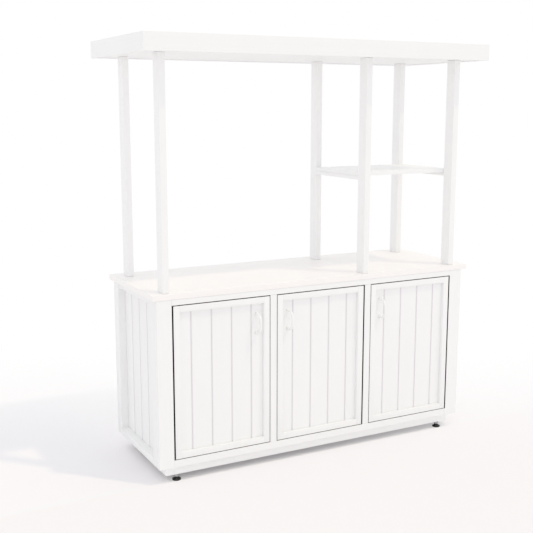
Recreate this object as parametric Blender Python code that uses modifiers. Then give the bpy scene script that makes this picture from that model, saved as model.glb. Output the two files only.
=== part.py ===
"""White host stand: a cabinet with three pivoting doors, a worktop, six posts, a shelf and a flat canopy.

Metres, +Z up, the doors face -Y. The origin is on the floor under the middle of the canopy.
"""

import math

import bmesh
import bpy
from mathutils import Vector

# Fits and edges
SEAT = 0.0003
RUNNING_GAP = 0.00035
EDGE_ROUND = 0.0015
EDGE_STEPS = 2
ROUND_STEPS = 20
OVERCUT = 0.002
WELD = 0.00001

# Cabinet body
BODY_WIDTH = 1.778
BODY_DEPTH = 0.607
BODY_HEIGHT = 0.8217
BASE_THICK = 0.018
PARTITION_THICK = 0.018
INNER_SHELF_THICK = 0.018
INNER_SHELF_RISE = 0.380
INNER_SHELF_SET_BACK = 0.040

# Plinth and levelling feet
PLINTH_HEIGHT = 0.0465
PLINTH_THICK = 0.026
PLINTH_SET_IN_END = 0.041
PLINTH_SET_IN = 0.030
FOOT_SET_IN = 0.101
PAD_RADIUS = 0.0215
PAD_HEIGHT = 0.007
PAD_SHOULDER = 0.005
NECK_RADIUS = 0.009
NECK_HEIGHT = 0.0057
COLLAR_RADIUS = 0.0115
COLLAR_HEIGHT = 0.0132
STUD_RADIUS = 0.005
STUD_COVER = 0.019

# Face frame round the doors
FACE_THICK = 0.024
END_STILE = 0.0757
MULLION = 0.037
TOP_RAIL = 0.0287
BOTTOM_RAIL = 0.0373

# Side and back frames with their boards
SIDE_THICK = 0.049
SIDE_FRONT_STILE = 0.060
SIDE_BACK_STILE = 0.0635
BACK_THICK = 0.022
BACK_END_STILE = 0.057
BACK_MULLION = 0.044
FRAME_TOP_RAIL = 0.030
FRAME_BOTTOM_RAIL = 0.034
SIDE_BOARD_RECESS = 0.037
BACK_BOARD_RECESS = 0.010
BOARD_SPACE = 0.004
BOARD_LAP = 0.010
SIDE_BOARD_PITCH = 0.107
BACK_BOARD_PITCH = 0.104
END_BOARD_LEAST = 0.020
GROOVE_WIDTH = 0.007
GROOVE_DEPTH = 0.005

# Doors
DOOR_THICK = 0.024
DOOR_STILE = 0.027
DOOR_RAIL = 0.027
DOOR_BOARD_RECESS = 0.014
DOOR_BOARD_SPACE = 0.001
DOOR_BOARD_PITCH = 0.106
HINGE_GAP = 0.0075
FREE_GAP = 0.003
DOOR_TOP_GAP = 0.004
DOOR_BOTTOM_GAP = 0.003
PIVOT_FROM_INSIDE = 0.011
PIVOT_RADIUS = 0.004
PIVOT_COLLAR_RADIUS = 0.0075
PIVOT_COVER = 0.002

# Bow handles and magnetic catches
HANDLE_SPAN = 0.096
HANDLE_STAND_OFF = 0.053
HANDLE_BAR_RADIUS = 0.0048
HANDLE_FOOT_SWELL = 1.6
HANDLE_FOOT_RUN = 0.004
HANDLE_STEPS = 14
HANDLE_SIDES = 12
HANDLE_END_FULLNESS = 0.8
HANDLE_CROWN_FULLNESS = 0.75
HANDLE_SET_IN = 0.067
HANDLE_DROP = 0.1315
CATCH_WIDTH = 0.030
CATCH_DEPTH = 0.016
CATCH_HEIGHT = 0.045

# Worktop, posts and display shelf
WORKTOP_THICK = 0.026
WORKTOP_OVER_LEFT = 0.019
WORKTOP_OVER_RIGHT = 0.035
WORKTOP_OVER_FRONT = 0.003
WORKTOP_OVER_BACK = 0.014
POST_WIDTH = 0.0323
POST_DEPTH = 0.0653
POST_HEIGHT = 1.0924
POST_END_INSET = 0.0405
POST_FRONT_INSET = 0.0238
POST_BACK_INSET = 0.0537
TENON_SHOULDER = 0.008
TENON_COVER = 0.010
SHELF_RISE = 0.5013
SHELF_THICK = 0.020
BEARER_HEIGHT = 0.0196
BEARER_WIDTH = 0.020

# Canopy
CANOPY_OVER_END = 0.105
CANOPY_DEPTH = 0.7487
CANOPY_AHEAD = 0.0821
FASCIA_HEIGHT = 0.0817
FASCIA_THICK = 0.020
SOFFIT_THICK = 0.012
SOFFIT_RECESS = 0.0045
DECK_THICK = 0.015
DECK_RECESS = 0.002

# Levels, from the floor up
FOOT_HEIGHT = PAD_HEIGHT + PAD_SHOULDER + NECK_HEIGHT + COLLAR_HEIGHT + SEAT
PLINTH_TOP = FOOT_HEIGHT + PLINTH_HEIGHT
BODY_BOTTOM = PLINTH_TOP + SEAT
BODY_TOP = BODY_BOTTOM + BODY_HEIGHT
BASE_TOP = BODY_BOTTOM + BASE_THICK
OPENING_BOTTOM = BODY_BOTTOM + BOTTOM_RAIL
OPENING_TOP = BODY_TOP - TOP_RAIL
DOOR_BOTTOM = OPENING_BOTTOM + DOOR_BOTTOM_GAP
DOOR_TOP = OPENING_TOP - DOOR_TOP_GAP
HANDLE_Z = DOOR_TOP - HANDLE_DROP
WORKTOP_BOTTOM = BODY_TOP + SEAT
WORKTOP_TOP = WORKTOP_BOTTOM + WORKTOP_THICK
POST_BOTTOM = WORKTOP_TOP + SEAT
POST_TOP = POST_BOTTOM + POST_HEIGHT
SHELF_BOTTOM = WORKTOP_TOP + SHELF_RISE
SOFFIT_BOTTOM = POST_TOP + SEAT
CANOPY_BOTTOM = SOFFIT_BOTTOM - SOFFIT_RECESS
CANOPY_TOP = CANOPY_BOTTOM + FASCIA_HEIGHT

# Reaches into other pieces
STUD_REACH = PLINTH_HEIGHT - STUD_COVER
PIVOT_REACH = DOOR_RAIL - BOARD_LAP - PIVOT_COVER
PIVOT_SET_IN = DOOR_STILE - PIVOT_FROM_INSIDE
DOOR_BOARD_THICK = DOOR_THICK - DOOR_BOARD_RECESS - DOOR_BOARD_SPACE
TENON_WIDTH = POST_WIDTH - 2 * TENON_SHOULDER
TENON_DEPTH = POST_DEPTH - 2 * TENON_SHOULDER
TENON_REACH = WORKTOP_THICK - TENON_COVER

# Planes across the body
CANOPY_FRONT = -CANOPY_DEPTH / 2
CANOPY_BACK = CANOPY_DEPTH / 2
FRONT = CANOPY_FRONT + CANOPY_AHEAD
BACK = FRONT + BODY_DEPTH
FACE_BACK = FRONT + FACE_THICK
BACK_FRAME_FRONT = BACK - BACK_THICK
END = BODY_WIDTH / 2
SIDE_INSIDE = END - SIDE_THICK
OPENING_WIDTH = (BODY_WIDTH - 2 * END_STILE - 2 * MULLION) / 3
MULLION_X = (OPENING_WIDTH + MULLION) / 2
POST_END_X = END - POST_END_INSET - POST_WIDTH / 2
POST_FRONT_Y = FRONT - WORKTOP_OVER_FRONT + POST_FRONT_INSET + POST_DEPTH / 2
POST_BACK_Y = BACK + WORKTOP_OVER_BACK - POST_BACK_INSET - POST_DEPTH / 2
POST_X = {"left": -POST_END_X, "middle": MULLION_X, "right": POST_END_X}
POST_Y = {"front": POST_FRONT_Y, "back": POST_BACK_Y}
CANOPY_END = POST_END_X + POST_WIDTH / 2 + CANOPY_OVER_END


def clear_scene():
    for obj in list(bpy.data.objects):
        bpy.data.objects.remove(obj, do_unlink=True)


def new_collection(name):
    collection = bpy.data.collections.new(name)
    bpy.context.scene.collection.children.link(collection)
    return collection


def new_finish(name, colour, roughness, metallic=0.0):
    finish = bpy.data.materials.new(name)
    finish.use_nodes = True
    shader = finish.node_tree.nodes["Principled BSDF"]
    shader.inputs["Base Color"].default_value = (*colour, 1.0)
    shader.inputs["Roughness"].default_value = roughness
    shader.inputs["Metallic"].default_value = metallic
    finish.diffuse_color = (*colour, 1.0)
    return finish


clear_scene()
PARTS = new_collection("host_stand")
CUTTERS = new_collection("cutters")
CUTTERS.hide_render = True
WHITE_PAINT = new_finish("white painted timber", (0.84, 0.83, 0.82), 0.45)
BLACK_PLASTIC = new_finish("black moulded plastic", (0.012, 0.012, 0.013), 0.5)
WHITE_METAL = new_finish("white coated zinc", (0.84, 0.83, 0.82), 0.35)
STEEL = new_finish("zinc plated steel", (0.55, 0.55, 0.54), 0.35, 1.0)


def place(name, data, centre, finish, parent=None):
    """A part with its origin at a world point, which rides on its parent."""
    obj = bpy.data.objects.new(name, data)
    obj.data.materials.append(finish)
    PARTS.objects.link(obj)
    obj.location = Vector(centre)
    if parent:
        obj.parent = parent
        obj.location -= parent.location
    return obj


def helper(name, data, centre):
    """A cutter or a joining shape, which isn't a part itself."""
    obj = bpy.data.objects.new(name, data)
    CUTTERS.objects.link(obj)
    obj.location = Vector(centre)
    obj.hide_render = True
    obj.display_type = "WIRE"
    return obj


def box_mesh(name, low, high):
    """A box about its own centre."""
    mesh = bpy.data.meshes.new(name)
    bm = bmesh.new()
    bmesh.ops.create_cube(bm, size=1.0)
    bmesh.ops.scale(bm, vec=Vector(high) - Vector(low), verts=bm.verts)
    bm.to_mesh(mesh)
    bm.free()
    return mesh


def middle(low, high):
    return (Vector(low) + Vector(high)) / 2


def combine(obj, other, operation):
    boolean = obj.modifiers.new(other.name, "BOOLEAN")
    boolean.operation = operation
    boolean.solver = "EXACT"
    boolean.object = other


def cut_box(obj, low, high):
    name = f"{obj.name}_cut"
    combine(obj, helper(name, box_mesh(name, low, high), middle(low, high)), "DIFFERENCE")


def cut_bore(obj, x, y, low, high, radius):
    """An upright round hole."""
    mesh = bpy.data.meshes.new(f"{obj.name}_bore")
    bm = bmesh.new()
    bmesh.ops.create_cone(
        bm, cap_ends=True, segments=ROUND_STEPS, radius1=radius, radius2=radius, depth=high - low
    )
    bm.to_mesh(mesh)
    bm.free()
    combine(obj, helper(mesh.name, mesh, (x, y, (low + high) / 2)), "DIFFERENCE")


def timber(name, low, high, parent=None, openings=(), finish=None):
    """A squared piece with eased edges. Openings are boxes cut before the edges are eased."""
    obj = place(name, box_mesh(name, low, high), middle(low, high), finish or WHITE_PAINT, parent)
    for opening in openings:
        cut_box(obj, *opening)
    ease = obj.modifiers.new("eased_edges", "BEVEL")
    ease.width = EDGE_ROUND
    ease.segments = EDGE_STEPS
    ease.limit_method = "ANGLE"
    return obj


def outline_piece(name, outline, depth, centre, turn=0.0, parent=None):
    """A flat outline in its own XY plane, given its depth along Z."""
    curve = bpy.data.curves.new(name, "CURVE")
    curve.dimensions = "2D"
    curve.fill_mode = "BOTH"
    curve.extrude = depth / 2
    spline = curve.splines.new("POLY")
    spline.points.add(len(outline) - 1)
    for point, (x, y) in zip(spline.points, outline):
        point.co = (x, y, 0.0, 1.0)
    spline.use_cyclic_u = True
    obj = place(name, curve, centre, WHITE_PAINT, parent)
    obj.rotation_euler.z = turn
    return obj


def groove_places(fields, pitch):
    """Where the grooves run: boards of one pitch about each field's middle, the end ones cut to fit."""
    places = []
    for left, right in fields:
        pairs = int(((right - left) / 2 - END_BOARD_LEAST) / pitch + 0.5)
        places += [(left + right) / 2 + (step + 0.5) * pitch for step in range(-pairs, pairs)]
    return places


def laid_places(start, pitch):
    """Where the grooves run in a panel from start to -start: full boards, the last one cut to fit."""
    count = int((2 * abs(start) - BOARD_LAP - END_BOARD_LEAST) / pitch)
    step = -math.copysign(pitch, start)
    return sorted(start + step * number for number in range(1, count + 1))


def boards(name, width, height, thick, grooves, centre, turn, parent=None):
    """V-grooved boards whose face looks along -Y before they are turned."""
    outline = [(-width / 2, thick / 2), (-width / 2, -thick / 2)]
    for at in grooves:
        outline.append((at - GROOVE_WIDTH / 2, -thick / 2))
        outline.append((at, -thick / 2 + GROOVE_DEPTH))
        outline.append((at + GROOVE_WIDTH / 2, -thick / 2))
    outline += [(width / 2, -thick / 2), (width / 2, thick / 2)]
    return outline_piece(name, outline, height, centre, turn, parent)


def turned(name, profile, at, finish, parent=None):
    """A turned piece: radius and height pairs from the top down, about an upright axis."""
    mesh = bpy.data.meshes.new(name)
    bm = bmesh.new()
    points = [bm.verts.new((radius, 0.0, height)) for radius, height in profile]
    for upper, lower in zip(points, points[1:]):
        bm.edges.new((upper, lower))
    bm.to_mesh(mesh)
    bm.free()
    obj = place(name, mesh, at, finish, parent)
    screw = obj.modifiers.new("turn", "SCREW")
    screw.steps = ROUND_STEPS
    screw.render_steps = ROUND_STEPS
    screw.use_merge_vertices = True
    screw.merge_threshold = WELD
    return obj


def pivot_axis(name, at):
    """An empty on a joint's axis, which carries the moving pieces."""
    empty = bpy.data.objects.new(name, None)
    PARTS.objects.link(empty)
    empty.location = Vector(at)
    return empty


def framed_boards(name, low, high, fields, axis, outward, recess, pitch, from_high=False):
    """A frame with its boards let in from the inside.

    The frame's thickness runs along the axis numbered by axis, and its face looks outward, +1 or -1.
    Each field is the low and the high end of an opening across the frame. The boards lie recess behind
    the face. They are laid about the middle of each field, or with from_high from the frame's high end.
    """
    across = 1 - axis
    face, inside = (high[axis], low[axis]) if outward > 0 else (low[axis], high[axis])
    bottom = low[2] + FRAME_BOTTOM_RAIL
    top = high[2] - FRAME_TOP_RAIL

    def corner(depth, side, level):
        point = [0.0, 0.0, level]
        point[axis] = depth
        point[across] = side
        return Vector(point)

    def span(first, second):
        return [Vector(map(min, first, second)), Vector(map(max, first, second))]

    past_face = face + outward * OVERCUT
    past_inside = inside - outward * OVERCUT
    seat = face - outward * recess
    openings = []
    for left, right in fields:
        openings.append(span(corner(past_face, left, bottom), corner(past_inside, right, top)))
    frame = timber(f"{name}_frame", low, high, openings=openings)
    rebate_left = fields[0][0] - BOARD_LAP
    rebate_right = fields[-1][1] + BOARD_LAP
    rebate_low = corner(seat, rebate_left, bottom - BOARD_LAP)
    cut_box(frame, *span(rebate_low, corner(past_inside, rebate_right, top + BOARD_LAP)))
    width = rebate_right - rebate_left - 2 * SEAT
    height = top - bottom + 2 * BOARD_LAP - 2 * SEAT
    thick = high[axis] - low[axis] - recess - BOARD_SPACE
    board_depth = seat - outward * (SEAT + thick / 2)
    turn = math.pi if axis == 1 else outward * math.pi / 2
    facing = -1 if axis == 1 else outward
    middle_across = (rebate_left + rebate_right) / 2
    seen = sorted(sorted(facing * (edge - middle_across) for edge in field) for field in fields)
    grooves = laid_places(facing * width / 2, pitch) if from_high else groove_places(seen, pitch)
    boards(
        f"{name}_boards",
        width,
        height,
        thick,
        grooves,
        corner(board_depth, middle_across, (bottom + top) / 2),
        turn,
    )


def build_plinth():
    """Four boards under the body. The front and back ones are bored for the feet."""
    left = -END + PLINTH_SET_IN_END
    front = FRONT + PLINTH_SET_IN
    back = BACK - PLINTH_SET_IN
    for name, low_y in (("front", front), ("back", back - PLINTH_THICK)):
        low = (left, low_y, FOOT_HEIGHT)
        board = timber(f"plinth_{name}", low, (-left, low_y + PLINTH_THICK, PLINTH_TOP))
        foot_y = low_y + PLINTH_THICK / 2
        for side, foot_x in (("left", FOOT_SET_IN - END), ("right", END - FOOT_SET_IN)):
            bore_top = FOOT_HEIGHT + STUD_REACH + SEAT
            bore_radius = STUD_RADIUS + RUNNING_GAP
            cut_bore(board, foot_x, foot_y, FOOT_HEIGHT - OVERCUT, bore_top, bore_radius)
            build_foot(f"{name}_{side}_foot", foot_x, foot_y)
    inside_low = front + PLINTH_THICK + SEAT
    inside_high = back - PLINTH_THICK - SEAT
    for name, low_x in (("left", left), ("right", -left - PLINTH_THICK)):
        low = (low_x, inside_low, FOOT_HEIGHT)
        timber(f"plinth_{name}", low, (low_x + PLINTH_THICK, inside_high, PLINTH_TOP))


def build_foot(name, x, y):
    """A levelling foot: pad, neck, collar against the plinth and stud inside it."""
    neck = PAD_HEIGHT + PAD_SHOULDER
    collar = neck + NECK_HEIGHT
    collar_top = collar + COLLAR_HEIGHT
    profile = [
        (0.0, collar_top + STUD_REACH),
        (STUD_RADIUS, collar_top + STUD_REACH),
        (STUD_RADIUS, collar_top),
        (COLLAR_RADIUS, collar_top),
        (COLLAR_RADIUS, collar),
        (NECK_RADIUS, collar),
        (NECK_RADIUS, neck),
        (PAD_RADIUS, PAD_HEIGHT),
        (PAD_RADIUS, 0.0),
        (0.0, 0.0),
    ]
    at = (x, y, 0.0)
    turned(name, profile, at, BLACK_PLASTIC, pivot_axis(f"{name}_axis", at))


def build_body():
    """Sides, back, base, partitions and inner shelves."""
    side_low_y = FACE_BACK + SEAT
    side_field = (side_low_y + SIDE_FRONT_STILE, BACK - SIDE_BACK_STILE)
    for name, outward in (("left", -1), ("right", 1)):
        ends = sorted((outward * SIDE_INSIDE, outward * END))
        low = (ends[0], side_low_y, BODY_BOTTOM)
        high = (ends[1], BACK, BODY_TOP)
        recess, pitch = SIDE_BOARD_RECESS, SIDE_BOARD_PITCH
        framed_boards(f"{name}_side", low, high, [side_field], 0, outward, recess, pitch, from_high=True)
    inside = SIDE_INSIDE - SEAT
    field_width = (2 * (inside - BACK_END_STILE) - 2 * BACK_MULLION) / 3
    step = field_width + BACK_MULLION
    fields = [(at * step - field_width / 2, at * step + field_width / 2) for at in (-1, 0, 1)]
    low = (-inside, BACK_FRAME_FRONT, BODY_BOTTOM)
    high = (inside, BACK, BODY_TOP)
    framed_boards("back", low, high, fields, 1, 1, BACK_BOARD_RECESS, BACK_BOARD_PITCH)
    front = FACE_BACK + SEAT
    back = BACK_FRAME_FRONT - SEAT
    timber("base_panel", (-inside, front, BODY_BOTTOM), (inside, back, BASE_TOP))
    half = PARTITION_THICK / 2
    for name, x in (("left", -MULLION_X), ("right", MULLION_X)):
        low = (x - half, front, BASE_TOP + SEAT)
        timber(f"{name}_partition", low, (x + half, back, BODY_TOP))
    shelf_low = BASE_TOP + INNER_SHELF_RISE
    shelf_front = front + INNER_SHELF_SET_BACK
    outer = MULLION_X + half + SEAT
    inner = MULLION_X - half - SEAT
    bays = (("left", -inside, -outer), ("middle", -inner, inner), ("right", outer, inside))
    for name, low_x, high_x in bays:
        low = (low_x, shelf_front, shelf_low)
        timber(f"{name}_bay_shelf", low, (high_x, back, shelf_low + INNER_SHELF_THICK))


def build_face_frame(pivots):
    """Stiles, rails and mullions round the doors. The rails are bored for the doors' pivots."""
    inner = END - END_STILE
    timber("face_left_stile", (-END, FRONT, BODY_BOTTOM), (-inner, FACE_BACK, BODY_TOP))
    timber("face_right_stile", (inner, FRONT, BODY_BOTTOM), (END, FACE_BACK, BODY_TOP))
    rail_end = inner - SEAT
    top = timber("face_top_rail", (-rail_end, FRONT, OPENING_TOP), (rail_end, FACE_BACK, BODY_TOP))
    low = (-rail_end, FRONT, BODY_BOTTOM)
    bottom = timber("face_bottom_rail", low, (rail_end, FACE_BACK, OPENING_BOTTOM))
    radius = PIVOT_RADIUS + RUNNING_GAP
    reach = PIVOT_REACH + SEAT
    for x, y in pivots:
        cut_bore(top, x, y, OPENING_TOP - OVERCUT, OPENING_TOP + reach, radius)
        cut_bore(bottom, x, y, OPENING_BOTTOM - reach, OPENING_BOTTOM + OVERCUT, radius)
    for name, x in (("left", -MULLION_X), ("right", MULLION_X)):
        low = (x - MULLION / 2, FRONT, OPENING_BOTTOM + SEAT)
        timber(f"face_{name}_mullion", low, (x + MULLION / 2, FACE_BACK, OPENING_TOP - SEAT))


def build_pivot(name, x, y, low, high):
    """A pivot pin whose collar fills the gap between the rail and the door."""
    collar_top = high - SEAT
    collar_bottom = low + SEAT
    profile = [
        (0.0, high + PIVOT_REACH),
        (PIVOT_RADIUS, high + PIVOT_REACH),
        (PIVOT_RADIUS, collar_top),
        (PIVOT_COLLAR_RADIUS, collar_top),
        (PIVOT_COLLAR_RADIUS, collar_bottom),
        (PIVOT_RADIUS, collar_bottom),
        (PIVOT_RADIUS, low - PIVOT_REACH),
        (0.0, low - PIVOT_REACH),
    ]
    turned(name, profile, (x, y, 0.0), STEEL)


def build_handle(name, x, face_y, parent):
    """A bow handle: its bar leaves the boards squarely and runs in one flat arch."""
    curve = bpy.data.curves.new(name, "CURVE")
    curve.dimensions = "3D"
    curve.bevel_depth = HANDLE_BAR_RADIUS
    curve.bevel_resolution = HANDLE_SIDES // 2 - 2
    curve.use_fill_caps = True
    half = HANDLE_SPAN / 2
    rise = HANDLE_STAND_OFF - HANDLE_BAR_RADIUS - HANDLE_FOOT_RUN
    path = [(-half, 0.0, HANDLE_FOOT_SWELL)]
    for step in range(HANDLE_STEPS + 1):
        angle = math.pi * step / HANDLE_STEPS
        along = -math.copysign(abs(math.cos(angle)) ** HANDLE_END_FULLNESS, math.cos(angle))
        out = math.sin(angle) ** HANDLE_CROWN_FULLNESS if 0 < step < HANDLE_STEPS else 0.0
        swell = 1.0 + (HANDLE_FOOT_SWELL - 1.0) * (1.0 - out) ** 2
        path.append((half * along, HANDLE_FOOT_RUN + rise * out, swell))
    path.append((half, 0.0, HANDLE_FOOT_SWELL))
    spline = curve.splines.new("POLY")
    spline.points.add(len(path) - 1)
    for point, (along, out, swell) in zip(spline.points, path):
        point.co = (0.0, -out, along, 1.0)
        point.radius = swell
    place(name, curve, (x, face_y - SEAT, HANDLE_Z), WHITE_METAL, parent)


def build_door(name, opening, hinge):
    """A framed door on pivots. Hinge is -1 where it hangs on the left, +1 on the right."""
    hinge_edge = opening[(hinge + 1) // 2] - hinge * HINGE_GAP
    free_edge = opening[(1 - hinge) // 2] + hinge * FREE_GAP
    left, right = sorted((hinge_edge, free_edge))
    pivot_x = hinge_edge - hinge * PIVOT_SET_IN
    pivot_y = FRONT + DOOR_THICK / 2
    axis = pivot_axis(f"{name}_axis", (pivot_x, pivot_y, DOOR_BOTTOM))
    door_back = FRONT + DOOR_THICK
    low_x, high_x = left + DOOR_STILE, right - DOOR_STILE
    low_z, high_z = DOOR_BOTTOM + DOOR_RAIL, DOOR_TOP - DOOR_RAIL
    seat_y = FRONT + DOOR_BOARD_RECESS
    through = ((low_x, FRONT - OVERCUT, low_z), (high_x, door_back + OVERCUT, high_z))
    low = (left, FRONT, DOOR_BOTTOM)
    frame = timber(f"{name}_frame", low, (right, door_back, DOOR_TOP), axis, [through])
    rebate_low = (low_x - BOARD_LAP, seat_y, low_z - BOARD_LAP)
    cut_box(frame, rebate_low, (high_x + BOARD_LAP, door_back + OVERCUT, high_z + BOARD_LAP))
    bore_radius = PIVOT_RADIUS + RUNNING_GAP
    reach = PIVOT_REACH + SEAT
    cut_bore(frame, pivot_x, pivot_y, DOOR_BOTTOM - OVERCUT, DOOR_BOTTOM + reach, bore_radius)
    cut_bore(frame, pivot_x, pivot_y, DOOR_TOP - reach, DOOR_TOP + OVERCUT, bore_radius)
    boards(
        f"{name}_boards",
        high_x - low_x + 2 * BOARD_LAP - 2 * SEAT,
        high_z - low_z + 2 * BOARD_LAP - 2 * SEAT,
        DOOR_BOARD_THICK,
        groove_places([((low_x - high_x) / 2, (high_x - low_x) / 2)], DOOR_BOARD_PITCH),
        ((left + right) / 2, seat_y + SEAT + DOOR_BOARD_THICK / 2, (low_z + high_z) / 2),
        0.0,
        axis,
    )
    build_handle(f"{name}_handle", free_edge + hinge * HANDLE_SET_IN, seat_y + SEAT, axis)
    build_pivot(f"{name}_upper_pivot", pivot_x, pivot_y, DOOR_TOP, OPENING_TOP)
    build_pivot(f"{name}_lower_pivot", pivot_x, pivot_y, OPENING_BOTTOM, DOOR_BOTTOM)
    return pivot_x, pivot_y


def build_doors():
    """Three doors: the left one hangs on the left, the others on the right."""
    pivots = []
    hung = (("left_door", -1, -1), ("middle_door", 0, 1), ("right_door", 1, 1))
    for name, place_across, hinge in hung:
        centre = place_across * (OPENING_WIDTH + MULLION)
        opening = (centre - OPENING_WIDTH / 2, centre + OPENING_WIDTH / 2)
        pivots.append(build_door(name, opening, hinge))
    return pivots


def build_catches():
    """Magnetic catches on the partitions, just behind the free edge of each door."""
    low_y = FRONT + DOOR_THICK + SEAT
    face = PARTITION_THICK / 2 + SEAT
    sides = (("left_door", -MULLION_X, -1), ("middle_door", -MULLION_X, 1), ("right_door", MULLION_X, 1))
    for name, partition, side in sides:
        ends = sorted((partition + side * face, partition + side * (face + CATCH_WIDTH)))
        low = (ends[0], low_y, HANDLE_Z - CATCH_HEIGHT / 2)
        high = (ends[1], low_y + CATCH_DEPTH, HANDLE_Z + CATCH_HEIGHT / 2)
        timber(f"{name}_catch", low, high, finish=BLACK_PLASTIC)


def tenon_box(x, y, bottom, top, gap):
    half_x = TENON_WIDTH / 2 + gap
    half_y = TENON_DEPTH / 2 + gap
    return (x - half_x, y - half_y, bottom), (x + half_x, y + half_y, top)


def build_worktop_and_posts():
    """The worktop and the posts, whose tenons stand in the worktop and reach through the soffit."""
    low = (-END - WORKTOP_OVER_LEFT, FRONT - WORKTOP_OVER_FRONT, WORKTOP_BOTTOM)
    high = (END + WORKTOP_OVER_RIGHT, BACK + WORKTOP_OVER_BACK, WORKTOP_TOP)
    worktop = timber("worktop", low, high)
    half_x, half_y = POST_WIDTH / 2, POST_DEPTH / 2
    tenon_bottom = POST_BOTTOM - TENON_REACH
    tenon_top = SOFFIT_BOTTOM + SOFFIT_THICK
    for row, y in POST_Y.items():
        for side, x in POST_X.items():
            low = (x - half_x, y - half_y, POST_BOTTOM)
            post = timber(f"{row}_{side}_post", low, (x + half_x, y + half_y, POST_TOP))
            tenon = tenon_box(x, y, tenon_bottom, tenon_top, 0.0)
            name = f"{post.name}_tenon"
            combine(post, helper(name, box_mesh(name, *tenon), middle(*tenon)), "UNION")
            socket = tenon_box(x, y, tenon_bottom - SEAT, WORKTOP_TOP + OVERCUT, SEAT)
            cut_box(worktop, *socket)


def build_display_shelf():
    """A shelf between the front and back posts of the right bay, on a bearer at each end."""
    half_x, half_y = POST_WIDTH / 2, POST_DEPTH / 2
    left, right = POST_X["middle"] - half_x, POST_X["right"] + half_x
    front, back = POST_FRONT_Y + half_y + SEAT, POST_BACK_Y - half_y - SEAT
    timber("display_shelf", (left, front, SHELF_BOTTOM), (right, back, SHELF_BOTTOM + SHELF_THICK))
    top = SHELF_BOTTOM - SEAT
    for name, low_x in (("left", left), ("right", right - BEARER_WIDTH)):
        low = (low_x, front, top - BEARER_HEIGHT)
        timber(f"display_shelf_{name}_bearer", low, (low_x + BEARER_WIDTH, back, top))


def build_canopy():
    """Fascia boards round a soffit that stands on the posts and a deck that closes the top."""
    inner_x = CANOPY_END - FASCIA_THICK
    inner_front = CANOPY_FRONT + FASCIA_THICK
    inner_back = CANOPY_BACK - FASCIA_THICK
    for name, low_y in (("front", CANOPY_FRONT), ("back", inner_back)):
        low = (-CANOPY_END, low_y, CANOPY_BOTTOM)
        timber(f"canopy_{name}_fascia", low, (CANOPY_END, low_y + FASCIA_THICK, CANOPY_TOP))
    front, back = inner_front + SEAT, inner_back - SEAT
    for name, low_x in (("left", -CANOPY_END), ("right", inner_x)):
        low = (low_x, front, CANOPY_BOTTOM)
        timber(f"canopy_{name}_fascia", low, (low_x + FASCIA_THICK, back, CANOPY_TOP))
    end = inner_x - SEAT
    deck_top = CANOPY_TOP - DECK_RECESS
    timber("canopy_deck", (-end, front, deck_top - DECK_THICK), (end, back, deck_top))
    soffit_top = SOFFIT_BOTTOM + SOFFIT_THICK
    soffit = timber("canopy_soffit", (-end, front, SOFFIT_BOTTOM), (end, back, soffit_top))
    for y in POST_Y.values():
        for x in POST_X.values():
            cut_box(soffit, *tenon_box(x, y, SOFFIT_BOTTOM - OVERCUT, soffit_top + OVERCUT, SEAT))


build_plinth()
build_body()
build_face_frame(build_doors())
build_catches()
build_worktop_and_posts()
build_display_shelf()
build_canopy()
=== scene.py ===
"""The host stand dressed for its picture: painted joinery, door hardware, feet, studio, light and camera.

Metres, +Z up. The doors face -Y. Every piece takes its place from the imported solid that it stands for.
"""

import logging
import math
from collections.abc import Callable, Mapping, Sequence
from dataclasses import dataclass
from enum import Enum
from functools import partial

import bmesh
import bpy
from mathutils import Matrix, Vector


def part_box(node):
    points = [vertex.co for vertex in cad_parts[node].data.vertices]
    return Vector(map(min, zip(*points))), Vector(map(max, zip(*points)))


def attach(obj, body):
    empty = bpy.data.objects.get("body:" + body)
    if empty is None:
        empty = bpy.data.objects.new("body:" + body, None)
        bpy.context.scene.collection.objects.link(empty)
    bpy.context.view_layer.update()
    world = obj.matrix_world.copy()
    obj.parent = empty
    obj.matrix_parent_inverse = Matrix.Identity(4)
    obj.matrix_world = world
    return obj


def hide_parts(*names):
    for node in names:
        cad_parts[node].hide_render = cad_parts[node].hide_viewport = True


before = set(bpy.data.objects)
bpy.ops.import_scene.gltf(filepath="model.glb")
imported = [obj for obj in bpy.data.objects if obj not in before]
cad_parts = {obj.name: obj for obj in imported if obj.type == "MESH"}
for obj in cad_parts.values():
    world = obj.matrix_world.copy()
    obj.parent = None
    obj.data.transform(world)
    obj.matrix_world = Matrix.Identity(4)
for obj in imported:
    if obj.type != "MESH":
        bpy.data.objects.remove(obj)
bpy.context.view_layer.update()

# Points nearer than this are in one place, and vertices nearer than the second are welded
TOUCH = 0.00005
WELD = 0.000005
# Cosines of directions that agree, and of those that lie across each other
AGREES = 0.9
LIES_ACROSS = 0.3
SMOOTH_BELOW = math.radians(35)
UP = Vector((0.0, 0.0, 1.0))
WHITE = (1.0, 1.0, 1.0, 1.0)
# The sockets of a Mix node that mixes colours, by number
MIX_SHARE, MIX_FIRST, MIX_SECOND = 0, 6, 7
MIX_RESULT = 2

Piece = bpy.types.Object
Tree = bpy.types.NodeTree
Socket = bpy.types.NodeSocket
Feeds = Mapping[str | int, object]
Model = Callable[[str], Piece]
Test = Callable[[Vector, Vector], bool]
Span = tuple[float, float]

log = logging.getLogger("host_stand")


class Axis(Enum):
    """A direction that timber grain can run in."""

    X = 0
    Y = 1
    Z = 2


class Pick(Enum):
    """What a selection looks at."""

    FACE = "FACE"
    EDGE = "EDGE"
    VERT = "VERT"


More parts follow.
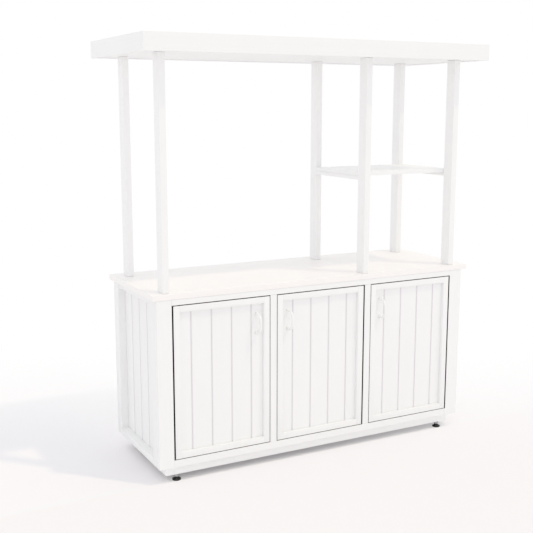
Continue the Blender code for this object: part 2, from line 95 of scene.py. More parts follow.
class Side(Enum):
    """A side of the stand, by the way it looks out."""

    FRONT = (0.0, -1.0, 0.0)
    BACK = (0.0, 1.0, 0.0)
    LEFT = (-1.0, 0.0, 0.0)
    RIGHT = (1.0, 0.0, 0.0)

    @property
    def outward(self) -> Vector:
        """The way that this side looks."""
        return Vector(self.value)

    @property
    def across(self) -> Vector:
        """The level direction that lies in this side."""
        return Vector((abs(self.value[1]), abs(self.value[0]), 0.0))

    def point(self, depth: float, place: float, level: float) -> Vector:
        """Give the point at a depth along outward, a place along across and a level."""
        return self.outward * depth + self.across * place + UP * level


def linear(code: str) -> tuple[float, float, float, float]:
    """Turn an sRGB hex colour into the linear RGBA that sockets take.

    Args:
        code: the colour as #RRGGBB.

    Returns:
        Linear red, green, blue and an alpha of 1.
    """
    parts = [int(code[at:at + 2], 16) / 255 for at in (1, 3, 5)]
    shades = [part / 12.92 if part <= 0.04045 else ((part + 0.055) / 1.055) ** 2.4 for part in parts]
    return shades[0], shades[1], shades[2], 1.0


def feed(tree: Tree, node: bpy.types.Node, feeds: Feeds) -> None:
    """Set a node's sockets, or link them to other sockets.

    Args:
        tree: the node tree.
        node: the node whose inputs are set.
        feeds: a value or an output socket for each named or numbered input.
    """
    for socket, value in feeds.items():
        if isinstance(value, Socket):
            tree.links.new(value, node.inputs[socket])
        else:
            node.inputs[socket].default_value = value


def add_node(tree: Tree, kind: str, feeds: Feeds | None = None, **settings: object) -> bpy.types.Node:
    """Add a node with its settings and links.

    Args:
        tree: the node tree.
        kind: the node's type name.
        feeds: values and links for its inputs.
        settings: the node's own properties.

    Returns:
        The new node.
    """
    node = tree.nodes.new(kind)
    for name, value in settings.items():
        setattr(node, name, value)
    feed(tree, node, feeds or {})
    return node


def seen_rays(tree: Tree) -> Socket:
    """Tell the rays that show a backdrop, straight or in gloss and glass, from those that light the stand.

    Args:
        tree: the node tree of the backdrop's material or of the world.

    Returns:
        A socket that is 1 for the rays that show it.
    """
    path = add_node(tree, "ShaderNodeLightPath").outputs
    seen = path["Is Camera Ray"]
    for ray in ("Is Glossy Ray", "Is Transmission Ray"):
        seen = add_node(tree, "ShaderNodeMath", {0: seen, 1: path[ray]}, operation="MAXIMUM").outputs[0]
    return seen


@dataclass(frozen=True)
class Finish:
    """A surface finish, whose material is made the first time a piece asks for it."""

    title: str

    def material(self) -> bpy.types.Material:
        """Give the finish's material.

        Returns:
            The material, named after the finish.
        """
        made = bpy.data.materials.get(self.title)
        if made is None:
            made = bpy.data.materials.new(self.title)
            made.use_nodes = True
            self.paint(made.node_tree, made.node_tree.nodes["Principled BSDF"])
        return made

    def paint(self, tree: Tree, shader: bpy.types.Node) -> None:
        """Lay the finish on the material's shader, which each kind of finish does in its own way."""
        raise NotImplementedError


@dataclass(frozen=True, kw_only=True)
class Coat(Finish):
    """Two close shades that a noise mixes, over a fine relief that the gloss follows."""

    colour: str
    shade: str
    roughness: Span
    bump_height: float
    bump_strength: float
    noise_detail: float
    noise_roughness: float = 0.6
    ior: float = 1.5
    metallic: float = 0.0

    def scales(self) -> list[tuple[float, ...]]:
        """Give the noises' mapping scales: the first mixes the shades, the last makes the relief."""
        raise NotImplementedError

    def share(self, tree: Tree, where: Socket, noise: Socket) -> Socket:
        """Give the share of the second shade, which is the noise unless a finish changes it."""
        return noise

    def tint(self, tree: Tree, where: Socket, colour: Socket) -> Socket:
        """Give the colour, as it is unless a finish changes it by place."""
        return colour

    def paint(self, tree: Tree, shader: bpy.types.Node) -> None:
        """Lay the coat on the shader.

        Args:
            tree: the material's node tree.
            shader: its Principled BSDF.
        """
        where = add_node(tree, "ShaderNodeTexCoord").outputs["Object"]
        noises = []
        for scale in self.scales():
            spread = add_node(tree, "ShaderNodeMapping", {"Vector": where, "Scale": scale}).outputs["Vector"]
            feeds = {"Vector": spread, "Scale": 1.0}
            feeds |= {"Detail": self.noise_detail, "Roughness": self.noise_roughness}
            noises.append(add_node(tree, "ShaderNodeTexNoise", feeds).outputs["Fac"])
        share, relief = self.share(tree, where, noises[0]), noises[-1]
        feeds = {MIX_SHARE: share, MIX_FIRST: linear(self.colour), MIX_SECOND: linear(self.shade)}
        tone = add_node(tree, "ShaderNodeMix", feeds, data_type="RGBA").outputs[MIX_RESULT]
        least, most = self.roughness
        gloss = add_node(tree, "ShaderNodeMapRange", {"Value": relief, "To Min": least, "To Max": most})
        feeds = {"Strength": self.bump_strength, "Distance": self.bump_height, "Height": relief}
        bumps = add_node(tree, "ShaderNodeBump", feeds)
        feeds = {
            "Base Color": self.tint(tree, where, tone),
            "Roughness": gloss.outputs[0],
            "Normal": bumps.outputs["Normal"],
            "IOR": self.ior,
            "Metallic": self.metallic,
        }
        feed(tree, shader, feeds)


@dataclass(frozen=True, kw_only=True)
class SatinPaint(Coat):
    """Brushed satin enamel on planed poplar: even white, the grain and the brush just felt through it."""

    grain: Axis
    colour: str = "#F9F9F9"
    shade: str = "#F7F7F7"
    shaded: Span = (0.12, 0.42)
    roughness: Span = (0.34, 0.52)
    bump_height: float = 0.0002
    bump_strength: float = 0.25
    noise_detail: float = 3.0
    ior: float = 1.48
    streak_width: float = 0.009
    streak_length: float = 0.260
    brush_width: float = 0.0022
    brush_length: float = 0.070
    patch: float = 0.300

    def scales(self) -> list[tuple[float, ...]]:
        """Give the scales of the grain's streaks and of the brush marks, both along the grain."""
        marks = ((self.streak_width, self.streak_length), (self.brush_width, self.brush_length))
        return [tuple(1.0 / (long if axis is self.grain else wide) for axis in Axis) for wide, long in marks]

    def share(self, tree: Tree, where: Socket, noise: Socket) -> Socket:
        """Break the streaks up into patches.

        Args:
            tree: the material's node tree.
            where: the Object coordinates.
            noise: the streaks.

        Returns:
            The share of the second shade.
        """
        feeds = {"Vector": where, "Scale": 1.0 / self.patch}
        patches = add_node(tree, "ShaderNodeTexNoise", feeds).outputs["Fac"]
        both = add_node(tree, "ShaderNodeMath", {0: noise, 1: patches}, operation="MULTIPLY").outputs[0]
        least, most = self.shaded
        feeds = {"Value": both, "From Min": least, "From Max": most}
        return add_node(tree, "ShaderNodeMapRange", feeds).outputs[0]


@dataclass(frozen=True, kw_only=True)
class RevealShadePaint(SatinPaint):
    """Satin enamel with painted shade in the reveals: near-black inside the box round the door gaps, so the
    gaps read as dark lines.
    """

    low: tuple[float, float, float]
    high: tuple[float, float, float]
    # Near-black painted shade for the reveals
    reveal: str = "#1D1C1B"

    def tint(self, tree: Tree, where: Socket, colour: Socket) -> Socket:
        """Paint shade over the colour inside the box that holds the reveals.

        Args:
            tree: the material's node tree.
            where: the Object coordinates.
            colour: the paint's colour.

        Returns:
            The colour socket with the reveals' painted shade in it.
        """
        low, high = Vector(self.low), Vector(self.high)
        feeds = {"Vector": where, "Location": (low + high) / 2, "Scale": (high - low) / 2}
        boxed = add_node(tree, "ShaderNodeMapping", feeds, vector_type="TEXTURE").outputs["Vector"]
        sizes = add_node(tree, "ShaderNodeVectorMath", {0: boxed}, operation="ABSOLUTE").outputs["Vector"]
        most, *others = add_node(tree, "ShaderNodeSeparateXYZ", {"Vector": sizes}).outputs
        for other in others:
            most = add_node(tree, "ShaderNodeMath", {0: most, 1: other}, operation="MAXIMUM").outputs[0]
        inside = add_node(tree, "ShaderNodeMath", {0: most, 1: 1.0}, operation="LESS_THAN").outputs[0]
        feeds = {MIX_SHARE: inside, MIX_FIRST: colour, MIX_SECOND: linear(self.reveal)}
        return add_node(tree, "ShaderNodeMix", feeds, data_type="RGBA").outputs[MIX_RESULT]


@dataclass(frozen=True, kw_only=True)
class Grit(Coat):
    """A coat whose whole look is its fine grit, such as powder coat, plastic or rubber."""

    grit: float
    stretch: float = 1.0
    bump_strength: float = 0.4
    noise_detail: float = 4.0

    def scales(self) -> list[tuple[float, ...]]:
        """Give the grit's scale, drawn out upwards by its stretch."""
        return [(1.0 / self.grit, 1.0 / self.grit, 1.0 / (self.grit * self.stretch))]


@dataclass(frozen=True)
class StudioFloor(Finish):
    """A pale matt studio floor that keeps the stand's shadow.

    A glow of painted light evens out the floor's shade in front of the plinth, lifts its shade a little under
    and beside the stand, and turns it white far behind. Only the rays that show the floor see the glow, so
    the stand gets no light from it.
    """

    colour: str = "#F9F7F9"
    speckle: float = 0.025
    speckle_detail: float = 3.0
    roughness: Span = (0.75, 0.90)
    sheen: float = 0.1
    wash: str = "#FAF6F5"
    wash_share: float = 0.78
    wash_reach: Span = (-0.264, -0.274)
    under_share: float = 0.18
    under_reach: Span = (-1.05, -0.87)
    white_way: tuple[float, float, float] = (0.467, 0.884, 0.0)
    white_reach: Span = (-0.4, 1.8)

    def paint(self, tree: Tree, shader: bpy.types.Node) -> None:
        """Lay the floor's colour on the shader, and the glow over it.

        Args:
            tree: the material's node tree.
            shader: its Principled BSDF.
        """
        where = add_node(tree, "ShaderNodeTexCoord").outputs["Object"]
        feeds = {"Vector": where, "Scale": 1.0 / self.speckle, "Detail": self.speckle_detail}
        speckle = add_node(tree, "ShaderNodeTexNoise", feeds).outputs["Fac"]
        least, most = self.roughness
        gloss = add_node(tree, "ShaderNodeMapRange", {"Value": speckle, "To Min": least, "To Max": most})
        feeds = {"Base Color": linear(self.colour), "Roughness": gloss.outputs[0]}
        feed(tree, shader, feeds | {"Specular IOR Level": self.sheen})
        parts = add_node(tree, "ShaderNodeSeparateXYZ", {"Vector": where}).outputs
        away = add_node(tree, "ShaderNodeVectorMath", {0: where, 1: self.white_way}, operation="DOT_PRODUCT")
        begin, end = self.under_reach
        feeds = {"Value": parts["X"], "From Min": begin, "From Max": end, "To Max": self.under_share}
        under = add_node(tree, "ShaderNodeMapRange", feeds, interpolation_type="SMOOTHSTEP").outputs[0]
        glows = (
            (linear(self.wash), parts["Y"], self.wash_reach, under, self.wash_share),
            (WHITE, away.outputs["Value"], self.white_reach, 0.0, 1.0),
        )
        surface, seen = shader.outputs["BSDF"], seen_rays(tree)
        for colour, value, (begin, end), least, most in glows:
            feeds = {"Value": value, "From Min": begin, "From Max": end, "To Min": least, "To Max": most}
            share = add_node(tree, "ShaderNodeMapRange", feeds, interpolation_type="SMOOTHSTEP").outputs[0]
            shown = add_node(tree, "ShaderNodeMath", {0: share, 1: seen}, operation="MULTIPLY").outputs[0]
            glow = add_node(tree, "ShaderNodeEmission", {"Color": colour, "Strength": 1.0})
            feeds = {0: shown, 1: surface, 2: glow.outputs["Emission"]}
            surface = add_node(tree, "ShaderNodeMixShader", feeds).outputs["Shader"]
        feed(tree, tree.nodes["Material Output"], {"Surface": surface})


PAINT = {axis: SatinPaint(f"satin_paint_grain_{axis.name.lower()}", grain=axis) for axis in Axis}
# Painted light: the plinth's paint is a touch whiter than the rest, standing in for the bounce from the pale
# floor close below it
PLINTH_BOUNCE_PAINT = {
    axis: SatinPaint(f"plinth_paint_grain_{axis.name.lower()}", grain=axis, colour="#FEFEFE", shade="#FCFCFC")
    for axis in (Axis.X, Axis.Y)
}
# Lacquer leaves the worktop smoother than the paint; its colour is a little whiter and warmer, painted light
# for the warm key falling on the top
WARM_LIT_TOP_LACQUER = SatinPaint(
    "worktop_lacquer_grain_x", grain=Axis.X, colour="#FDFAF9", shade="#FAF7F6", bump_height=0.0001
)
# Thin coats let the timber's fibres show, which run up the boards
FIBRES = {"grit": 0.004, "stretch": 12.0, "bump_height": 0.0001}
# Painted shade: near-black on the edges round the doors, where the deep narrow gaps fall into shade
GAP_SHADE_PAINT = Grit("black_edge_stain", colour="#1D1C1B", shade="#262423", roughness=(0.7, 0.85), **FIBRES)
# Painted shade in the joints: a pale grey on the V between two boards, and a darker grey line in the slot at
# its bottom
GROOVE_SHADE_PAINT = Grit("thin_joint_paint", colour="#EFECEF", shade="#EAE7EB", roughness=(0.5, 0.7), **FIBRES)
GROOVE_SHADE_LINE = Grit("bare_joint_line", colour="#C8C4C9", shade="#CECACF", roughness=(0.8, 0.95), **FIBRES)
# Powder coat flows out to a fine orange peel
POWDER_COAT = Grit(
    "white_powder_coat",
    colour="#F9F9F9",
    shade="#F6F6F5",
    roughness=(0.28, 0.38),
    grit=0.0015,
    bump_height=0.00004,
)
# Zinc plate is bright but slightly milky, with rubbed streaks
ZINC_PLATE = Grit(
    "zinc_plated_steel",
    colour="#B9BBBC",
    shade="#A7A9AB",
    roughness=(0.22, 0.38),
    grit=0.003,
    stretch=3.0,
    bump_height=0.00002,
    metallic=1.0,
)
# Moulded nylon has a fine spark texture that dulls its black
BLACK_NYLON = Grit(
    "black_moulded_nylon",
    colour="#141415",
    shade="#1C1C1D",
    roughness=(0.42, 0.58),
    grit=0.0012,
    bump_height=0.00005,
)
# Rubber is matt, with a bloom of grey
BLACK_RUBBER = Grit(
    "black_rubber",
    colour="#1A1918",
    shade="#252321",
    roughness=(0.75, 0.9),
    grit=0.002,
    bump_height=0.00008,
)


class Workpiece:
    """A mesh on the bench: it starts as a primitive and is shaped in edit mode until it is finished."""

    def __init__(self, name: str, finishes: Sequence[Finish]) -> None:
        """Take up the primitive that was just added and fix its place into its mesh.

        Args:
            name: the piece's name.
            finishes: its finishes, of which the first covers it until others are laid on.
        """
        self.piece = bpy.context.object
        self.piece.name = name
        self.piece.data.name = name
        bpy.ops.object.transform_apply(location=True, rotation=True, scale=True)
        for finish in finishes:
            self.piece.data.materials.append(finish.material())
        bpy.ops.object.mode_set(mode="EDIT")

    @classmethod
    def block(cls, name: str, first: Vector, second: Vector, *finishes: Finish) -> "Workpiece":
        """Start from a squared block.

        Args:
            name: the piece's name.
            first: one corner.
            second: the corner opposite.
            finishes: the piece's finishes.

        Returns:
            The block, open in edit mode.
        """
        bpy.ops.object.select_all(action="DESELECT")
        bpy.ops.mesh.primitive_cube_add(size=1.0, location=(first + second) / 2)
        bpy.context.object.scale = [abs(length) for length in second - first]
        return cls(name, finishes)

    @classmethod
    def disc(
        cls, name: str, centre: Vector, way: Vector, radius: float, sides: int, *finishes: Finish
    ) -> "Workpiece":
        """Start from a filled disc.

        Args:
            name: the piece's name.
            centre: the disc's centre.
            way: the way that it looks.
            radius: its radius.
            sides: how many sides it has.
            finishes: the piece's finishes.

        Returns:
            The disc, open in edit mode and selected all over.
        """
        bpy.ops.object.select_all(action="DESELECT")
        turn = way.to_track_quat("Z", "Y").to_euler()
        bpy.ops.mesh.primitive_circle_add(
            vertices=sides, radius=radius, fill_type="NGON", location=centre, rotation=turn
        )
        return cls(name, finishes)

    @classmethod
    def turned(
        cls, name: str, foot: Vector, way: Vector, profile: Sequence[Span], sides: int, *finishes: Finish
    ) -> "Workpiece":
        """Raise a turned piece from a disc, step by step along its axis.

        Args:
            name: the piece's name.
            foot: the point on the axis that heights are measured from.
            way: the way that the axis runs.
            profile: a radius and a height for each step.
            sides: how many sides it has.
            finishes: the piece's finishes.

        Returns:
            The turned piece, with its last face selected.
        """
        radius, height = profile[0]
        work = cls.disc(name, foot + way * height, way, radius, sides, *finishes)
        for next_radius, next_height in profile[1:]:
            work.extrude(way * (next_height - height))
            work.resize(next_radius / radius, foot + way * next_height)
            radius, height = next_radius, next_height
        return work

    def pick(self, pick: Pick, test: Test) -> None:
        """Select what passes a test of its middle and its direction: a normal, or an edge's run.

        Args:
            pick: whether faces, edges or vertices are tested.
            test: the test.
        """
        bpy.ops.mesh.select_mode(type=pick.value)
        bpy.ops.mesh.select_all(action="DESELECT")
        mesh = bmesh.from_edit_mesh(self.piece.data)
        if pick is Pick.FACE:
            for face in mesh.faces:
                face.select_set(test(face.calc_center_median(), face.normal))
        elif pick is Pick.EDGE:
            for edge in mesh.edges:
                start, end = edge.verts[0].co, edge.verts[1].co
                edge.select_set(test((start + end) / 2, (end - start).normalized()))
        else:
            for vert in mesh.verts:
                vert.select_set(test(vert.co, vert.normal))
        mesh.select_flush_mode()
        bmesh.update_edit_mesh(self.piece.data)

    def extrude(self, shift: Vector) -> None:
        """Draw the selected faces out by a shift."""
        bpy.ops.mesh.extrude_region_move(TRANSFORM_OT_translate={"value": shift})

    def move(self, shift: Vector) -> None:
        """Move what is selected."""
        bpy.ops.transform.translate(value=shift)

    def resize(self, factor: float, centre: Vector) -> None:
        """Scale what is selected about a point."""
        bpy.ops.transform.resize(value=(factor, factor, factor), center_override=centre)

    def widen(self, factor: float, centre: Vector) -> None:
        """Scale what is selected along X about a point."""
        bpy.ops.transform.resize(value=(factor, 1.0, 1.0), center_override=centre)

    def turn(self, angle: float, axis: Axis, centre: Vector) -> None:
        """Turn what is selected about an axis through a point; with no window it turns backwards."""
        bpy.ops.transform.rotate(value=-angle, orient_axis=axis.name, center_override=centre)

    def split(self, point: Vector, way: Vector) -> None:
        """Cut edges all round the piece where a plane meets it."""
        bpy.ops.mesh.select_all(action="SELECT")
        bpy.ops.mesh.bisect(plane_co=point, plane_no=way, threshold=WELD)

    def ease(self, width: float, steps: int = 2) -> None:
        """Round the selected edges."""
        bpy.ops.mesh.bevel(offset=width, segments=steps, affect="EDGES")

    def inset(self, width: float) -> None:
        """Set a rim inside the selected faces."""
        bpy.ops.mesh.inset(thickness=width)

    def lay(self, finish: Finish) -> None:
        """Lay one of the piece's finishes on the selected faces."""
        self.piece.active_material_index = self.piece.data.materials.find(finish.title)
        bpy.ops.object.material_slot_assign()

    def finish(self) -> Piece:
        """Close the piece: weld it, turn its faces out and shade its rounds smooth.

        Returns:
            The finished piece.
        """
        bpy.ops.mesh.select_all(action="SELECT")
        bpy.ops.mesh.remove_doubles(threshold=WELD)
        bpy.ops.mesh.normals_make_consistent(inside=False)
        bpy.ops.object.mode_set(mode="OBJECT")
        bpy.ops.object.shade_smooth_by_angle(angle=SMOOTH_BELOW)
        return self.piece


class Bench:
    """The patterns of the pieces that repeat: each kind is modelled once and its pieces are copies."""

    def __init__(self) -> None:
        """Start with no patterns."""
        self.patterns: dict[str, tuple[Piece, Vector]] = {}

    def copy(self, kind: str, name: str, place: Vector, model: Model) -> Piece:
        """Copy a piece from the pattern of its kind, which is modelled when the first piece is asked for.

        Args:
            kind: what the piece is.
            name: the piece's name.
            place: the point that it is set by.
            model: models the pattern at that point, under the name that it is given.

        Returns:
            The piece, with a mesh of its own.
        """
        if kind not in self.patterns:
            self.patterns[kind] = model(f"{kind}_pattern"), place
        pattern, start = self.patterns[kind]
        bpy.ops.object.select_all(action="DESELECT")
        pattern.select_set(True)
        bpy.context.view_layer.objects.active = pattern
        bpy.ops.object.duplicate()
        piece = bpy.context.object
        piece.name = name
        piece.data.name = name
        piece.location = place - start
        bpy.ops.object.transform_apply(location=True, rotation=False, scale=False)
        return piece

    def clear(self) -> None:
        """Put the patterns away."""
        for pattern, _ in self.patterns.values():
            bpy.data.objects.remove(pattern)


def join(name: str, pieces: Sequence[Piece]) -> Piece:
    """Make one object of several pieces.

    Args:
        name: the name of the whole.
        pieces: the pieces, of which the first takes in the others.

    Returns:
        The whole.
    """
    bpy.ops.object.select_all(action="DESELECT")
    for piece in pieces:
        piece.select_set(True)
    bpy.context.view_layer.objects.active = pieces[0]
    bpy.ops.object.join()
    pieces[0].name = name
    pieces[0].data.name = name
    return pieces[0]


def fit(piece: Piece, body: str, slot: str, *nodes: str) -> None:
    """Fit a finished piece to the stand.

    Args:
        piece: the piece.
        body: the body that it moves with.
        slot: the material slot that its finish belongs to, which is not used.
        nodes: the solids that it stands for.
    """
    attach(piece, body)
    if nodes:
        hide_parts(*nodes)
    log.info("%s rides on %s", piece.name, body)


def dress(node: str, finish: Finish) -> None:
    """Give a solid that shows as it is a better finish.

    Args:
        node: the solid's node.
        finish: its finish.
    """
    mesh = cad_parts[node].data
    mesh.materials.clear()
    mesh.materials.append(finish.material())
    log.info("%s is finished in %s", node, finish.title)


def reach(node: str, way: Vector) -> Span:
    """Give a solid's lowest and highest reach along a direction."""
    low, high = sorted(corner.dot(way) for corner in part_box(node))
    return low, high


def grain_of(node: str) -> Axis:
    """Give the way that a timber's grain runs, which is its longest side.

    Args:
        node: the timber's solid.

    Returns:
        The axis of its longest side.
    """
    low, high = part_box(node)
    lengths = list(high - low)
    return Axis(lengths.index(max(lengths)))


@dataclass
class Planking:
    """Boards that meet in V joints, let into a frame from behind."""

    node: str
    side: Side
    fields: Sequence[Span]
    pitch: float
    joint_width: float = 0.0090
    joint_depth: float = 0.0060
    slot_width: float = 0.0009
    slot_depth: float = 0.0006
    arris: float = 0.0006
    end_board_least: float = 0.020
    from_high: bool = False
    lap: float = 0.010
    set_back: float = 0.0

    def __post_init__(self) -> None:
        """Read the panel's place from its solid, and find where its boards meet."""
        self.back, face = reach(self.node, self.side.outward)
        self.face = face - self.set_back
        self.left, self.right = reach(self.node, self.side.across)
        self.bottom, self.top = reach(self.node, UP)
        self.joints = self.joint_places()

    def joint_places(self) -> list[float]:
        """Find the joints: about each field's middle, or from the panel's high end.

        Returns:
            The places across where boards meet.
        """
        if self.from_high:
            count = int((self.right - self.left - self.lap - self.end_board_least) / self.pitch)
            return [self.right - self.pitch * number for number in range(1, count + 1)]
        places = []
        for left, right in self.fields:
            pairs = int(((right - left) / 2 - self.end_board_least) / self.pitch + 0.5)
            places += [(left + right) / 2 + (step + 0.5) * self.pitch for step in range(-pairs, pairs)]
        return places

    def beside(self, place: Vector) -> float:
        """Give how far a point lies beside the nearest joint."""
        return min(abs(place.dot(self.side.across) - joint) for joint in self.joints)

    def depth(self, place: Vector) -> float:
        """Give how far a point lies behind the boards' face."""
        return self.face - place.dot(self.side.outward)

    def build(self, name: str) -> Piece:
        """Model the boards in one panel.

        Args:
            name: the panel's name.

        Returns:
            The panel.
        """
        outward, across, beside, depth = self.side.outward, self.side.across, self.beside, self.depth
        first = self.side.point(self.back, self.left, self.bottom)
        second = self.side.point(self.face, self.right, self.top)
        half, slot, thick = self.joint_width / 2, self.slot_width / 2, self.face - self.back
        work = Workpiece.block(name, first, second, PAINT[Axis.Z], GROOVE_SHADE_PAINT, GROOVE_SHADE_LINE)
        for joint in self.joints:
            for shift in (-half, -slot, slot, half):
                work.split(across * (joint + shift), across)
        work.pick(Pick.VERT, lambda place, way: abs(depth(place)) < TOUCH and beside(place) < slot + TOUCH)
        work.move(outward * -self.joint_depth)
        work.pick(Pick.FACE, lambda place, way: way.dot(outward) > AGREES and beside(place) < TOUCH)
        work.extrude(outward * -self.slot_depth)
        # Painted shade on the V's walls, then a darker line of painted shade in the slot below
        work.pick(
            Pick.FACE, lambda place, way: beside(place) < half and TOUCH < depth(place) < self.joint_depth
        )
        work.lay(GROOVE_SHADE_PAINT)
        work.pick(
            Pick.FACE,
            lambda place, way: beside(place) < slot + TOUCH
            and self.joint_depth + TOUCH < depth(place) < thick - TOUCH,
        )
        work.lay(GROOVE_SHADE_LINE)
        work.pick(
            Pick.EDGE,
            lambda place, way: abs(depth(place)) < TOUCH
            and abs(beside(place) - half) < TOUCH
            and abs(way.z) > AGREES,
        )
        work.ease(self.arris)
        return work.finish()


@dataclass
class Joinery:
    """Stiles, rails and mullions round a panel of boards, with the rebate that takes the boards."""

    node: str
    boards: str
    side: Side
    fields: Sequence[Span]
    recess: float
    lap: float
    hairline: float = 0.00004
    outer_ease: float = 0.0014
    joint_ease: float = 0.0004
    shaded_gap_edges: bool = False

    def __post_init__(self) -> None:
        """Read the frame's place from its solid and the opening's from the boards."""
        self.back, self.face = reach(self.node, self.side.outward)
        self.left, self.right = reach(self.node, self.side.across)
        self.bottom, self.top = reach(self.node, UP)
        low, high = reach(self.boards, UP)
        self.opening_bottom, self.opening_top = low + self.lap, high - self.lap
        self.seat = self.face - self.recess

    def draw_lip(self, work: Workpiece, way: Vector) -> None:
        """Draw a member's lip out in front of the boards.

        Args:
            work: the member.
            way: the way from its outer edge to the boards.
        """
        outward = self.side.outward
        work.pick(
            Pick.FACE, lambda place, normal: normal.dot(way) > AGREES and place.dot(outward) > self.seat
        )
        work.extrude(way * self.lap)

    def stile(self, name: str, edge: float, inner: float) -> Workpiece:
        """Start an upright from its outer edge, with a lip in front of the boards.

        Args:
            name: the piece's name.
            edge: the place of its outer edge.
            inner: the place of the lip's edge.

        Returns:
            The stile, open in edit mode.
        """
        rebate = inner - math.copysign(self.lap, inner - edge)
        first = self.side.point(self.back, edge, self.bottom)
        second = self.side.point(self.face, rebate, self.top)
        work = Workpiece.block(name, first, second, PAINT[Axis.Z], GAP_SHADE_PAINT)
        work.split(self.side.outward * self.seat, self.side.outward)
        self.draw_lip(work, self.side.across * math.copysign(1.0, inner - edge))
        return work

    def rail(self, name: str, edge: float, inner: float) -> Workpiece:
        """Start a level member that runs between the stiles, its back tongued into their rebates.

        Args:
            name: the piece's name.
            edge: the level of its outer edge.
            inner: the level of the lip's edge.

        Returns:
            The rail, open in edit mode.
        """
        outward, across = self.side.outward, self.side.across
        rebate = inner - math.copysign(self.lap, inner - edge)
        left, right = self.fields[0][0], self.fields[-1][1]
        first = self.side.point(self.back, left - self.lap, edge)
        second = self.side.point(self.seat, right + self.lap, rebate)
        grain = Axis.X if across.x else Axis.Y
        work = Workpiece.block(name, first, second, PAINT[grain], GAP_SHADE_PAINT)
        for place in (left + self.hairline, right - self.hairline):
            work.split(across * place, across)
        work.pick(
            Pick.FACE,
            lambda place, normal: normal.dot(outward) > AGREES and left < place.dot(across) < right,
        )
        work.extrude(outward * self.recess)
        self.draw_lip(work, UP * math.copysign(1.0, inner - edge))
        return work

    def mullion(self, name: str, left: float, right: float) -> Workpiece:
        """Start a thin upright in front of boards that run on behind it.

        Args:
            name: the piece's name.
            left: the place of its low edge.
            right: the place of its high edge.

        Returns:
            The mullion, open in edit mode.
        """
        first = self.side.point(self.seat, left, self.opening_bottom + self.hairline)
        second = self.side.point(self.face, right, self.opening_top - self.hairline)
        return Workpiece.block(name, first, second, PAINT[Axis.Z], GAP_SHADE_PAINT)

    def outline_count(self, place: Vector) -> int:
        """Count the outer planes of the frame that a point lies on.

        Args:
            place: the point.

        Returns:
            How many of the six planes it touches.
        """
        planes = (
            (place.dot(self.side.outward), self.face, self.back),
            (place.dot(self.side.across), self.left, self.right),
            (place.z, self.bottom, self.top),
        )
        return sum(min(abs(at - low), abs(at - high)) < TOUCH for at, low, high in planes)

    def near_outline(self, place: Vector) -> bool:
        """Tell whether a point lies within the eased outer arris.

        Args:
            place: the point.

        Returns:
            True where it does.
        """
        across, near = place.dot(self.side.across), self.outer_ease + TOUCH
        beside = min(across - self.left, self.right - across) < near
        return beside or min(place.z - self.bottom, self.top - place.z) < near

    def trim(self, work: Workpiece) -> Piece:
        """Ease a member's arrises, lay painted shade on its outer edge where the frame has shaded gap edges,
        and finish it.

        Args:
            work: the member.

        Returns:
            The finished member.
        """
        outward = self.side.outward
        work.pick(Pick.EDGE, lambda place, way: self.outline_count(place) >= 2)
        work.ease(self.outer_ease)
        work.pick(
            Pick.EDGE,
            lambda place, way: abs(place.dot(outward) - self.face) < TOUCH
            and self.outline_count(place) == 1
            and not self.near_outline(place),
        )
        work.ease(self.joint_ease)
        if self.shaded_gap_edges:
            # Painted shade on the frame's outer edges, which face into the gaps round the doors
            work.pick(
                Pick.FACE,
                lambda place, way: abs(way.dot(outward)) < LIES_ACROSS
                and self.outline_count(place) >= 1
                and self.face - place.dot(outward) > self.outer_ease,
            )
            work.lay(GAP_SHADE_PAINT)
        return work.finish()

    def build(self, name: str) -> Piece:
        """Model the frame member by member.

        Args:
            name: the frame's name.

        Returns:
            The frame, its members in one object.
        """
        pieces = [
            self.trim(self.stile(f"{name}_left", self.left, self.fields[0][0])),
            self.trim(self.stile(f"{name}_right", self.right, self.fields[-1][1])),
            self.trim(self.rail(f"{name}_bottom", self.bottom, self.opening_bottom)),
            self.trim(self.rail(f"{name}_top", self.top, self.opening_top)),
        ]
        for before, after in zip(self.fields, self.fields[1:]):
            pieces.append(self.trim(self.mullion(f"{name}_mullion", before[1], after[0])))
        return join(name, pieces)


@dataclass
class Screw:
    """A slotted screw with a low head; its outline is in shares of the head's radius and height."""

    foot: Vector
    way: Vector
    radius: float = 0.0042
    height: float = 0.0006
    outline: Sequence[Span] = ((1.0, 0.0), (1.0, 0.35), (0.94, 0.65), (0.80, 0.88), (0.62, 1.0))
    slot_width: float = 0.0010
    slot_depth: float = 0.0009
    sides: int = 24

    def build(self, name: str) -> Piece:
        """Model the head.

        Args:
            name: the screw's name.

        Returns:
            The head.
        """
        profile = [(self.radius * share, self.height * rise) for share, rise in self.outline]
        work = Workpiece.turned(name, self.foot, self.way, profile, self.sides, ZINC_PLATE)
        level, half = self.foot.dot(self.way) + self.height, self.slot_width / 2
        for shift in (-half, half):
            work.split(self.foot + UP * shift, UP)
        work.pick(
            Pick.FACE,
            lambda place, normal: abs(place.dot(self.way) - level) < TOUCH
            and abs(place.z - self.foot.z) < half,
        )
        work.extrude(self.way * -self.slot_depth)
        return work.finish()


